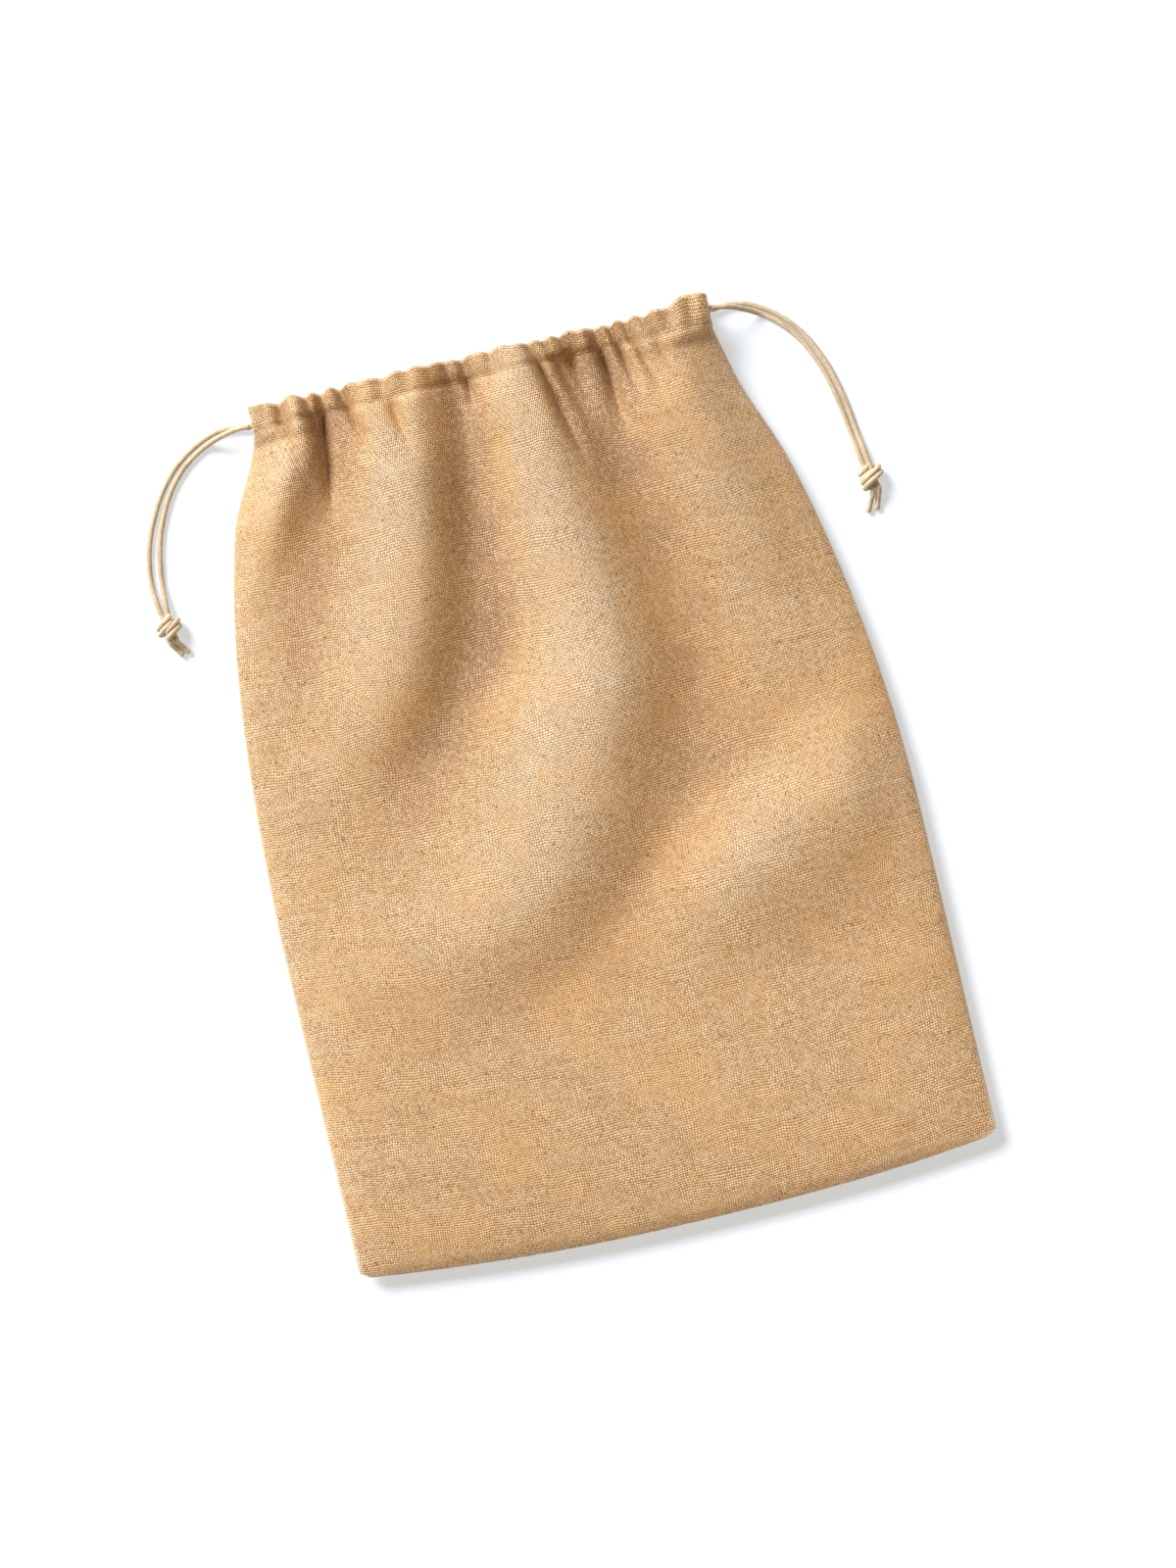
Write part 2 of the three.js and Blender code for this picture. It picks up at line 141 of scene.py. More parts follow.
LEFT_ROUTE = [
    (0, 0), (7.2, 0.7), (14.7, 0.1), (22.2, -2.1), (29.4, -5.8),
    (35.7, -10.4), (41.2, -15.9), (46, -22.3), (50.1, -29.5), (53.5, -36.9),
    (56.1, -44.7), (57.9, -52.9), (58.8, -61.1), (58.8, -68.6), (58.2, -75.5),
]
RIGHT_ROUTE = [
    (0, 0), (7.3, -0.2), (14.9, -2.2), (21.7, -5.6), (27.7, -9.9),
    (33.1, -15.5), (38, -22.2), (41.7, -29.6), (44.7, -37.3), (46.9, -45.3),
    (48.6, -53.5), (49.8, -61.7), (50.8, -69.9), (51.8, -77.9), (52.8, -85.7),
]
CORDS = {
    "left": {
        "side": -1,
        "exit": (-110.3, 197.8),
        "route": LEFT_ROUTE,
        "splay": 1.1,
        "tail_tips": [(-3, -13.4), (-6, -12.8)],
        "tilt": 1.8,
        "turn": 0.3,
    },
    "right": {
        "side": 1,
        "exit": (110.3, 201.8),
        "route": RIGHT_ROUTE,
        "splay": 0,
        "tail_tips": [(-0.3, -15.3), (-4.6, -15.6)],
        "tilt": 1.3,
        "turn": 2.0,
    },
}


# ---- Small helpers ----


def smoothstep(value, low, high):
    """A smooth rise from 0 at low to 1 at high."""
    share = np.clip((value - low) / (high - low), 0, 1)
    return share * share * (3 - 2 * share)


def unit(vectors):
    """Vectors scaled to a length of 1."""
    return vectors / np.maximum(np.linalg.norm(vectors, axis=-1, keepdims=True), 1e-9)


def lengths_along(points):
    """Distance travelled along a line at each of its points."""
    return np.concatenate([[0], np.cumsum(np.linalg.norm(np.diff(points, axis=0), axis=1))])


def smooth_curve(points, per_span):
    """Points along a Catmull-Rom curve through the given ones."""
    points = np.array(points, float)
    ends = np.vstack([2 * points[0] - points[1], points, 2 * points[-1] - points[-2]])
    curve = []
    for index in range(len(points) - 1):
        a, b, c, d = ends[index:index + 4]
        for step in range(per_span):
            t = step / per_span
            curve.append(0.5 * (2 * b + (c - a) * t + (2 * a - 5 * b + 4 * c - d) * t ** 2
                                + (3 * b - 3 * c + d - a) * t ** 3))
    curve.append(points[-1])
    return np.array(curve)


def make_object(name, vertices, faces, uvs, normals=None):
    """A smooth-shaded mesh object. Vertices are in millimetres, and uvs hold one pair a vertex."""
    mesh = bpy.data.meshes.new(name)
    mesh.from_pydata((np.asarray(vertices) * MM).tolist(), [], faces)
    corners = np.empty(len(mesh.loops), int)
    mesh.loops.foreach_get("vertex_index", corners)
    layer = mesh.uv_layers.new(name="cloth")
    layer.data.foreach_set("uv", np.asarray(uvs, float)[corners].ravel())
    mesh.polygons.foreach_set("use_smooth", np.ones(len(mesh.polygons), bool))
    mesh.validate()
    if normals is not None:
        mesh.normals_split_custom_set_from_vertices(np.asarray(normals).tolist())
    mesh.update()
    made = bpy.data.objects.new(name, mesh)
    bpy.context.scene.collection.objects.link(made)
    return made


def tube_mesh(centres, radii, sides=14):
    """Vertices, faces and uvs of a round-ended tube. Its uvs are (around, along) in millimetres."""
    centres = np.array(centres, float)
    radii = np.broadcast_to(radii, (len(centres),)).astype(float)
    along = unit(np.gradient(centres, axis=0))
    across = unit(np.cross(along[0], [0.013, 0.031, 1.0]))
    frames = []
    for direction in along:
        across = unit(across - direction * np.dot(across, direction))
        frames.append((across, np.cross(direction, across)))
    rings = []
    lengths = []
    travelled = lengths_along(centres)
    caps = [math.radians(angle) for angle in (78, 52, 26)]
    for angle in caps:
        offset = -radii[0] * math.sin(angle) * 0.6
        rings.append((centres[0] + along[0] * offset, radii[0] * math.cos(angle), frames[0]))
        lengths.append(offset)
    for centre, radius, axes, length in zip(centres, radii, frames, travelled):
        rings.append((centre, radius, axes))
        lengths.append(length)
    for angle in reversed(caps):
        offset = radii[-1] * math.sin(angle) * 0.6
        rings.append((centres[-1] + along[-1] * offset, radii[-1] * math.cos(angle), frames[-1]))
        lengths.append(travelled[-1] + offset)
    vertices = []
    uvs = []
    for (centre, radius, (first, second)), length in zip(rings, lengths):
        for side in range(sides):
            angle = 2 * math.pi * side / sides
            vertices.append(centre + radius * (math.cos(angle) * first + math.sin(angle) * second))
            uvs.append((abs(side / sides - 0.5) * 2 * math.pi * CORD_RADIUS, length))
    faces = [tuple(reversed(range(sides)))]
    for ring in range(len(rings) - 1):
        for side in range(sides):
            a = ring * sides + side
            b = ring * sides + (side + 1) % sides
            faces.append((a, b, b + sides, a + sides))
    last = (len(rings) - 1) * sides
    faces.append(tuple(last + side for side in range(sides)))
    return np.array(vertices), faces, np.array(uvs)


def joined(parts):
    """Several (vertices, faces, uvs) as one."""
    vertices = []
    faces = []
    uvs = []
    for part_vertices, part_faces, part_uvs in parts:
        start = sum(len(block) for block in vertices)
        vertices.append(part_vertices)
        uvs.append(part_uvs)
        faces.extend(tuple(start + index for index in face) for face in part_faces)
    return np.vstack(vertices), faces, np.vstack(uvs)


# ---- Camera ----


PICTURE_TURN = 13.3  # degrees that the pouch is turned in the picture
PICTURE_HEIGHT = 0.7262  # metres of the surface that the picture takes in
PICTURE_CENTRE = (0.0039, 0.0013)  # metres
CAMERA_HEIGHT = 3.0  # metres


def add_camera():
    """Straight down, with the pouch turned in the picture."""
    turn = math.radians(PICTURE_TURN)
    right = Vector((math.cos(turn), -math.sin(turn), 0))
    up = Vector((math.sin(turn), math.cos(turn), 0))
    camera = bpy.data.cameras.new("camera")
    camera.sensor_fit = "VERTICAL"
    camera.lens = camera.sensor_height * CAMERA_HEIGHT / PICTURE_HEIGHT
    camera.clip_end = 20
    holder = bpy.data.objects.new("camera", camera)
    rotation = Matrix((right, up, right.cross(up))).transposed().to_4x4()
    holder.matrix_world = Matrix.Translation((*PICTURE_CENTRE, CAMERA_HEIGHT)) @ rotation
    bpy.context.scene.collection.objects.link(holder)
    bpy.context.scene.camera = holder


# ---- Materials ----


class Nodes:
    """Builds a material's nodes in code, with short names for the kinds used here."""

    def __init__(self, name):
        self.material = bpy.data.materials.new(name)
        self.material.use_nodes = True
        self.tree = self.material.node_tree
        self.shader = self.tree.nodes["Principled BSDF"]

    def add(self, kind, inputs=None, **settings):
        node = self.tree.nodes.new(kind)
        for key, value in settings.items():
            setattr(node, key, value)
        for key, value in (inputs or {}).items():
            self.put(node.inputs[key], value)
        return node

    def put(self, socket, value):
        if isinstance(value, bpy.types.NodeSocket):
            self.tree.links.new(value, socket)
        else:
            socket.default_value = value

    def math(self, operation, a, b=0.0):
        return self.add("ShaderNodeMath", {0: a, 1: b}, operation=operation).outputs[0]

    def times(self, a, b):
        return self.math("MULTIPLY", a, b)

    def plus(self, a, b):
        return self.math("ADD", a, b)

    def rest(self, value):
        """What is left of 1."""
        return self.math("SUBTRACT", 1.0, value)

    def combined(self, x, y, z=0.0):
        return self.add("ShaderNodeCombineXYZ", {0: x, 1: y, 2: z}).outputs[0]

    def mix(self, factor, a, b):
        node = self.add("ShaderNodeMix", data_type="RGBA")
        self.put(node.inputs[0], factor)
        self.put(node.inputs[6], a)
        self.put(node.inputs[7], b)
        return node.outputs[2]

    def noise(self, vector, scale, detail=2.0, roughness=0.5):
        inputs = {"Vector": vector, "Scale": scale, "Detail": detail, "Roughness": roughness}
        return self.add("ShaderNodeTexNoise", inputs).outputs["Fac"]

    def ramp(self, value, low, high, to_low=0.0, to_high=1.0):
        inputs = {"Value": value, "From Min": low, "From Max": high, "To Min": to_low, "To Max": to_high}
        return self.add("ShaderNodeMapRange", inputs, interpolation_type="SMOOTHSTEP").outputs["Result"]

    def stretched(self, vector, scale):
        inputs = {"Vector": vector, "Scale": scale}
        return self.add("ShaderNodeMapping", inputs).outputs["Vector"]

    def bump(self, height, distance):
        node = self.add("ShaderNodeBump", {"Height": height, "Distance": distance, "Strength": 1.0})
        self.tree.links.new(node.outputs["Normal"], self.shader.inputs["Normal"])

    def finish(self, color, roughness, specular=0.3, sheen=0.0, sheen_tint=(1, 1, 1, 1), ior=1.5):
        self.put(self.shader.inputs["Base Color"], color)
        self.put(self.shader.inputs["Roughness"], roughness)
        self.put(self.shader.inputs["Specular IOR Level"], specular)
        self.shader.inputs["Sheen Weight"].default_value = sheen
        self.shader.inputs["Sheen Tint"].default_value = sheen_tint
        self.shader.inputs["IOR"].default_value = ior
        return self.material


YARN_PITCH = 1.15  # millimetres between neighbouring yarns
YARN_WANDER = 5.0  # millimetres that a yarn strays from straight over a long run
PAINTED_HIGHLIGHT = (1.0, 0.88, 0.71, 1)  # painted highlight on raised cloth
SHADED = (0.62, 0.270, 0.060, 1)  # cloth in the hollows
PAINTED_CREASE_SHADE = (0.30, 0.120, 0.028, 1)  # painted shade on cloth deep in a crease
BARK = (0.15, 0.080, 0.030, 1)
# painted highlight along the side seams' edge
SEAM_EDGE_HIGHLIGHT = (0.92, 0.80, 0.58, 1)


def jute_material(name, base, pale, dark):
    """Plain-woven jute. Its uvs are millimetres of cloth, so each yarn lies where it was woven."""
    n = Nodes(name)
    uv = n.add("ShaderNodeUVMap", uv_map="cloth").outputs["UV"]
    wander = n.add("ShaderNodeTexNoise", {"Vector": uv, "Scale": 0.045, "Detail": 2.0}).outputs["Color"]
    shift = n.add("ShaderNodeVectorMath", {0: wander, 1: (0.5, 0.5, 0.5)}, operation="SUBTRACT")
    shift = n.add("ShaderNodeVectorMath", {0: shift.outputs[0], "Scale": YARN_WANDER}, operation="SCALE")
    place = n.add("ShaderNodeVectorMath", {0: uv, 1: shift.outputs[0]}, operation="ADD").outputs[0]
    axes = n.add("ShaderNodeSeparateXYZ", {0: place}).outputs
    turn = math.pi / YARN_PITCH

    # A yarn is high where it passes over and low where it passes under, out of step with the next.
    crown_x = n.math("ABSOLUTE", n.math("SINE", n.times(axes[0], turn)))
    crown_y = n.math("ABSOLUTE", n.math("SINE", n.times(axes[1], turn)))
    step_x = n.math("FLOOR", n.math("DIVIDE", axes[0], YARN_PITCH))
    step_y = n.math("FLOOR", n.math("DIVIDE", axes[1], YARN_PITCH))
    odd = n.math("ABSOLUTE", n.math("MODULO", n.plus(step_x, step_y), 2.0))
    warp_up = n.ramp(odd, 0.3, 0.7)
    weft_up = n.rest(warp_up)
    over = n.times(crown_x, n.plus(n.times(crown_y, 0.55), 0.45))
    under = n.times(crown_y, n.plus(n.times(crown_x, 0.55), 0.45))
    weave = n.plus(n.times(warp_up, over), n.times(weft_up, under))

    # Yarns differ from one another in tone, and along their length: slubs and thin places.
    warp_yarn = n.combined(step_x, n.times(axes[1], 0.07), 7.0)
    weft_yarn = n.combined(n.times(axes[0], 0.05), step_y, 3.0)
    warp_tone = n.noise(warp_yarn, 0.83, 3.0, 0.6)
    weft_tone = n.noise(weft_yarn, 0.83, 3.0, 0.6)
    tone = n.plus(n.times(warp_tone, warp_up), n.times(weft_tone, weft_up))
    tone = n.plus(n.times(tone, 0.55), n.times(weft_tone, 0.45))
    color = n.mix(n.ramp(tone, 0.44, 0.68, 0.0, 0.95), base, pale)
    color = n.mix(n.ramp(tone, 0.48, 0.28, 0.0, 0.75), color, dark)

    # Painted light and shade: raised cloth is painted paler as a highlight, cloth in the hollows darker as
    # shade, and deep creases darker still.
    painted_light_and_shade = n.add("ShaderNodeAttribute", attribute_name="painted_light_and_shade").outputs["Fac"]
    color = n.mix(n.ramp(painted_light_and_shade, -0.1, 1.1, 0.0, 0.60), color, PAINTED_HIGHLIGHT)
    color = n.mix(n.ramp(painted_light_and_shade, 0.0, -1.0, 0.0, 0.70), color, SHADED)
    color = n.mix(n.ramp(painted_light_and_shade, -0.8, -1.9, 0.0, 0.70), color, PAINTED_CREASE_SHADE)

    # The weft lies deeper than the warp, and the spaces between yarns deeper still.
    color = n.mix(n.times(weft_up, 0.55), color, dark)
    color = n.mix(n.times(n.rest(n.ramp(weave, 0.05, 0.70)), 0.85), color, dark)

    # No two crossings have quite the same tone, and fine fibres cover them all.
    cell = n.combined(step_x, step_y)
    crossing = n.add("ShaderNodeTexWhiteNoise", {"Vector": cell}, noise_dimensions="2D").outputs["Value"]
    color = n.mix(n.ramp(crossing, 0.45, 1.0, 0.0, 0.36), color, pale)
    color = n.mix(n.ramp(crossing, 0.40, 0.0, 0.0, 0.34), color, dark)
    fibre = n.noise(n.stretched(place, (2.6, 2.6, 1.0)), 1.0, 3.0, 0.65)
    color = n.mix(n.ramp(fibre, 0.35, 0.7, 0.0, 0.30), color, pale)
    color = n.mix(n.ramp(fibre, 0.62, 0.3, 0.0, 0.22), color, dark)

    # Broad warm patches, dark specks of bark, and a painted highlight along the side seams' edge.
    warm = (base[0] * 0.97, base[1] * 0.90, base[2] * 0.78, 1)
    color = n.mix(n.ramp(n.noise(uv, 0.021, 3.0, 0.55), 0.42, 0.68, 0.0, 0.35), color, warm)
    speck = n.ramp(n.noise(n.stretched(place, (1.0, 0.6, 1.0)), 1.1), 0.605, 0.665)
    color = n.mix(n.times(speck, 0.50), color, BARK)
    from_middle = n.math("ABSOLUTE", n.add("ShaderNodeSeparateXYZ", {0: uv}).outputs[0])
    edge_highlight_mask = n.ramp(from_middle, HALF_POUCH - 2.3, HALF_POUCH - 0.3)
    color = n.mix(n.times(edge_highlight_mask, 0.6), color, SEAM_EDGE_HIGHLIGHT)

    streaks = n.plus(n.times(warp_tone, 0.4), n.times(weft_tone, 0.6))
    height = n.plus(n.times(weave, 0.75), n.times(fibre, 0.28))
    n.bump(n.plus(height, n.times(streaks, 0.45)), 0.00042)
    roughness = n.ramp(fibre, 0.3, 0.7, 0.48, 0.62)
    shine = n.times(n.ramp(weave, 0.1, 0.8, 0.25, 1.0), n.ramp(speck, 0.0, 1.0, 1.0, 0.2))
    return n.finish(color, roughness, specular=shine, sheen=0.08, sheen_tint=(1.0, 0.93, 0.82, 1), ior=1.75)


def cord_material(name, base, pale, dark, twist):
    """Round waxed cord: long fibres at a slight twist, pale where it is rubbed."""
    n = Nodes(name)
    uv = n.add("ShaderNodeUVMap", uv_map="cloth").outputs["UV"]
    axes = n.add("ShaderNodeSeparateXYZ", {0: uv}).outputs
    turned = n.plus(axes[0], n.times(axes[1], twist))
    strand = n.combined(turned, n.times(axes[1], 0.10))
    fibre = n.noise(strand, 3.4, 4.0, 0.6)
    patches = n.noise(n.stretched(uv, (0.18, 0.07, 1.0)), 1.0, 2.0, 0.5)
    grain = n.noise(n.stretched(uv, (5.0, 2.2, 1.0)), 1.0, 2.0, 0.5)
    color = n.mix(n.ramp(fibre, 0.35, 0.66), base, pale)
    color = n.mix(n.ramp(fibre, 0.5, 0.28, 0.0, 0.55), color, dark)
    color = n.mix(n.ramp(patches, 0.45, 0.72, 0.0, 0.55), color, dark)
    color = n.mix(n.ramp(grain, 0.62, 0.8, 0.0, 0.4), color, dark)
    n.bump(n.plus(n.times(fibre, 0.8), n.times(grain, 0.25)), 0.00022)
    return n.finish(color, n.ramp(fibre, 0.3, 0.7, 0.62, 0.48), sheen=0.12)


def thread_material(name):
    """Spun sewing thread: two plies twisted together."""
    n = Nodes(name)
    uv = n.add("ShaderNodeUVMap", uv_map="cloth").outputs["UV"]
    axes = n.add("ShaderNodeSeparateXYZ", {0: uv}).outputs
    ply = n.math("SINE", n.plus(n.times(axes[1], 6.0), n.times(axes[0], 3.0)))
    fuzz = n.noise(uv, 4.0, 3.0, 0.6)
    color = n.mix(n.ramp(ply, -0.9, 0.6), (0.46, 0.32, 0.17, 1), (0.72, 0.56, 0.36, 1))
    color = n.mix(n.ramp(fuzz, 0.4, 0.7, 0.0, 0.4), color, (0.80, 0.68, 0.48, 1))
    n.bump(n.plus(n.times(ply, 0.5), n.times(fuzz, 0.3)), 0.0001)
    return n.finish(color, n.ramp(fuzz, 0.3, 0.7, 0.7, 0.85), sheen=0.1)


JUTE = jute_material("jute", (0.88, 0.535, 0.210, 1), (1.0, 0.82, 0.56, 1), (0.35, 0.170, 0.046, 1))
TURNING = jute_material(
    "jute_turning", (0.50, 0.30, 0.14, 1), (0.74, 0.54, 0.33, 1), (0.25, 0.135, 0.052, 1)
)
CORD = cord_material("drawcord", (0.58, 0.47, 0.325, 1), (0.78, 0.70, 0.54, 1), (0.40, 0.275, 0.15, 1), 0.22)
THREAD = thread_material("sewing_thread")


# ---- Drawcords ----


def strand_line(cord, layer):
    """A strand's centreline: out of its channel, down to the surface and up into the knot."""
    flat = np.array([
        (cord["side"] * (abs(cord["exit"][0]) + outwards), cord["exit"][1] + along)
        for outwards, along in cord["route"]
    ])
    travelled = lengths_along(flat)
    total = travelled[-1]
    start_z = FRONT_CHANNEL_Z if layer > 0 else BACK_CHANNEL_Z
    points = []
    for index, here in enumerate(travelled):
        heading = unit(flat[min(index + 1, len(flat) - 1)] - flat[max(index - 1, 0)])
        sideways = np.array([-heading[1], heading[0]])
        apart = smoothstep(here, 0, DROP_LENGTH / 2) * STRAND_SPACING
        splay = cord["splay"] * math.sin(math.pi * (here / total) ** 3)
        drop = (start_z - CORD_RADIUS) * (1 - smoothstep(here, 0, DROP_LENGTH))
        rise = (KNOT_HEIGHT / 2 - CORD_RADIUS) * smoothstep(here, total - KNOT_RISE, total)
        place = flat[index] + sideways * layer * -cord["side"] * (apart / 2 + splay)
        points.append((*place, CORD_RADIUS + drop + rise))
    return smooth_curve(points, 8)


def knot_place(cord):
    """The knot's middle, and its axes: sideways, towards the tails, and up."""
    exit_x, exit_y = cord["exit"]
    before, last = [
        np.array((cord["side"] * (abs(exit_x) + outwards), exit_y + along, KNOT_HEIGHT / 2))
        for outwards, along in cord["route"][-2:]
    ]
    heading = unit(last - before)
    sideways = np.array([-heading[1], heading[0], 0])
    return last + heading * (KNOT_LENGTH / 2 + 0.3), sideways, heading


def knot_strands(cord):
    """An overhand knot in the doubled cord: both strands wind round the run through its middle."""
    centre, sideways, heading = knot_place(cord)
    wide = KNOT_WIDTH / 2 - CORD_RADIUS
    deep = KNOT_HEIGHT / 2 - CORD_RADIUS
    pitch = 2.05 * CORD_RADIUS
    parts = []
    for strand in (-0.5, 0.5):
        line = []
        for share in np.linspace(0, 1, 90):
            angle = 2 * math.pi * KNOT_TURNS * share + cord["turn"]
            out = smoothstep(share, -0.02, 0.13) * (1 - smoothstep(share, 0.86, 1.04))
            swell = 0.80 + 0.20 * math.sin(math.pi * share)
            along = (share - 0.5) * pitch * 2 * KNOT_TURNS * 0.82 + strand * pitch
            along -= cord["tilt"] * math.cos(angle) * out
            along = np.clip(along, -KNOT_LENGTH / 2 + 0.6, KNOT_LENGTH / 2 - 0.6)
            across = wide * out * swell * math.cos(angle)
            up = deep * out * swell * math.sin(angle)
            line.append(centre + sideways * across + heading * along + np.array([0, 0, up]))
        parts.append(tube_mesh(line, CORD_RADIUS * 1.02, 16))
    for strand in (-0.5, 0.5):
        line = []
        for share in np.linspace(-0.5, 0.5, 16):
            across = strand * STRAND_SPACING * (1 - 0.25 * math.cos(math.pi * share))
            line.append(centre + sideways * across + heading * share * (KNOT_LENGTH + 0.6))
        parts.append(tube_mesh(line, CORD_RADIUS, 16))
    return joined(parts)


def tail_line(cord, layer):
    """A tail's centreline, from inside the knot down to its tip on the surface."""
    centre, sideways, heading = knot_place(cord)
    start = centre + heading * (KNOT_LENGTH / 2 - 0.8)
    start = start + sideways * layer * -cord["side"] * STRAND_SPACING / 2
    outwards, along = cord["tail_tips"][1 if layer > 0 else 0]
    tip = np.array([centre[0] + cord["side"] * outwards, centre[1] + along, CORD_RADIUS])
    straight = start + heading * 2.4
    middle = (straight + tip) / 2
    middle[2] = start[2] * 0.3 + tip[2] * 0.7
    return smooth_curve([start, straight, middle, tip], 8)


def frayed_radii(count):
    """A cut end flares a little and its fibres spread."""
    share = np.linspace(0, 1, count)
    return CORD_RADIUS * (1 + 0.10 * smoothstep(share, 0.7, 1.0))


def channel_line(cord, reach):
    """The part of a drawcord in the mouth: front channel, half turn and back channel."""
    turn_radius = (FRONT_CHANNEL_Z - BACK_CHANNEL_Z) / 2
    turn_x = HALF_MOUTH - 1 - CORD_RADIUS - turn_radius
    middle_z = (FRONT_CHANNEL_Z + BACK_CHANNEL_Z) / 2
    start_x = abs(cord["exit"][0]) + reach
    y = cord["exit"][1]
    line = [(-start_x + (start_x + turn_x) * share, y, FRONT_CHANNEL_Z) for share in np.linspace(0, 1, 60)]
    for angle in np.linspace(0, math.pi, 22)[1:-1]:
        line.append((turn_x + turn_radius * math.sin(angle), y, middle_z + turn_radius * math.cos(angle)))
    line += [(turn_x - (start_x + turn_x) * share, y, BACK_CHANNEL_Z) for share in np.linspace(0, 1, 60)]
    return [(-cord["side"] * x, y, z) for x, y, z in line]


def finish_piece(piece, material, slot, *nodes):
    """Gives a piece its material, and has it take the place of its CAD nodes. Its slot is not used."""
    piece.data.materials.append(material)
    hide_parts(*nodes)
    return piece


def add_drawcord(name, cord):
    """A drawcord: its loop, its knot, and its two strands with their tails."""
    end_body = f"{name}_cord_end"
    loop = make_object(f"{name}_loop_cord", *tube_mesh(channel_line(cord, -1.2), CORD_RADIUS))
    finish_piece(loop, CORD, "drawcord", f"{name}_cord_loop")
    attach(loop, f"{name}_cord")

    knot = make_object(f"{name}_overhand_knot", *knot_strands(cord))
    finish_piece(knot, CORD, "drawcord", f"{name}_knot")
    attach(knot, end_body)

    for layer, place in ((1, "front"), (-1, "back")):
        line = tail_line(cord, layer)
        tail = make_object(f"{name}_{place}_cut_tail", *tube_mesh(line, frayed_radii(len(line))))
        finish_piece(tail, CORD, "drawcord", f"{name}_{place}_tail")
        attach(tail, end_body)

        line = strand_line(cord, layer)
        strand = make_object(f"{name}_{place}_cord", *tube_mesh(line, CORD_RADIUS))
        finish_piece(strand, CORD, "drawcord", f"{name}_{place}_strand")
        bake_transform(strand)


# ---- Cloth shape ----

# Creases gathered in at the mouth, from left to right: where each starts on the mouth edge and
# where it dies out, both as X, then its length down the cloth, its depth and its half width.
PLEATS = [
    (-101, -101, 13, 0.8, 3.0),
    (-94.5, -92, 24, 6.5, 1.9),
    (-82, -80, 21, 6.0, 1.6),
    (-74.5, -80, 46, 9.0, 2.0),
    (-66, -60, 28, 6.0, 1.7),
    (-57, -58, 12, 1.2, 2.8),
    (-46, -41, 32, 6.5, 2.3),
    (-34, -34, 12, 1.2, 2.6),
    (-24, -24, 12, 1.0, 2.8),
    (-16, -15, 13, 1.8, 2.2),
    (-8, -7, 24, 6.5, 1.8),
    (4.5, 4, 16, 2.6, 2.2),
    (15, 16, 11, 0.9, 2.6),
    (23.5, 34, 48, 8.5, 1.9),
    (30.5, 40, 34, 4.5, 2.3),
    (37.5, 44, 28, 4.0, 2.2),
    (46, 48, 12, 1.0, 2.4),
    (54.5, 58, 40, 10.0, 1.9),
    (61.5, 67, 30, 7.0, 1.6),
    (68.5, 77, 32, 5.5, 1.8),
    (77, 85, 26, 3.6, 2.2),
    (90, 92, 11, 0.8, 2.8),
]

# Wider hollows that start below the casing, given in the same way.
HOLLOWS = [
    (39, 47, 66, 5.0, 10.0),
    (-13, -15, 75, 3.2, 7.0),
    (-73, -88, 44, 3.0, 7.0),
]

# Folds in the body: a crest as (X, Y) from its top to its end, then how far the cloth falls away
# from it on the left and on the right, and the crest's height, at each of those points.
FOLDS = [
    ([(21, 200), (23, 150), (25, 110), (27, 80), (24, 48),
      (8, 14), (-10, -18), (-38, -46), (-78, -60), (-120, -62)],
     [32, 36, 44, 48, 56, 68, 74, 70, 62, 50], [33, 35, 36, 40, 46, 48, 48, 46, 44, 40],
     [10.5, 12.5, 12.5, 13.0, 13.0, 10.5, 9.0, 7.0, 4.0, 1.5]),
    ([(-35, 200), (-41, 155), (-48, 120), (-58, 90), (-76, 60), (-98, 36)],
     [36, 42, 48, 52, 48, 34], [24, 25, 27, 31, 34, 30],
     [8.0, 10.5, 11.0, 10.5, 8.0, 2.5]),
    ([(-84, 200), (-90, 184), (-104, 166), (-120, 148), (-134, 128)],
     [16, 18, 20, 16, 12], [16, 23, 27, 26, 22],
     [5.5, 8.5, 8.5, 6.5, 2.5]),
    ([(150, -4), (122, -24), (92, -40), (60, -58), (30, -74)],
     [36, 44, 46, 44, 36], [40, 50, 54, 50, 40],
     [2.0, 5.5, 7.0, 6.0, 2.0]),
    ([(84, 200), (91, 165), (98, 130), (104, 95), (108, 60)],
     [28, 34, 38, 42, 40], [26, 30, 32, 34, 34],
     [2.5, 4.0, 4.0, 3.5, 1.5]),
]


def half_width(distance):
    """Half the pouch's width at a distance from the mouth edge."""
    along = np.clip((distance - CHANNEL_HEIGHT) / GATHER_LENGTH, 0, 1)
    flare = HALF_POUCH - (HALF_POUCH - HALF_MOUTH) * (1 - along) ** 2
    to_corner = POUCH_LENGTH - BOTTOM_BOW - distance
    bite = np.clip(CORNER_RADIUS - to_corner, 0, CORNER_RADIUS)
    return flare - CORNER_RADIUS + np.sqrt(CORNER_RADIUS ** 2 - bite ** 2)


def side_slack(c, distance):
    """How far the sides stand out from the even outline: the left one is fuller, the right flatter."""
    left = LEFT_FULLNESS * smoothstep(distance, 18, 56) * (1 - smoothstep(distance, 60, 230))
    right = -RIGHT_HOLLOW * np.exp(-(((distance - 42) / 24) ** 2))
    return np.maximum(-c, 0) ** 2 * -left + np.maximum(c, 0) ** 2 * right


def bottom_edge(c):
    """Distance from the mouth to the bottom edge, which bows down in the middle."""
    return POUCH_LENGTH - BOTTOM_BOW * c ** 2


def laid_out(c, distance):
    """X and Y of the cloth at a share of the way across and a distance from the mouth."""
    x = c * half_width(distance) + side_slack(c, distance)
    y = MOUTH_Y - distance - CORNER_DROP * smoothstep(c, 0, 1) * (distance / POUCH_LENGTH) ** 3
    return x, y


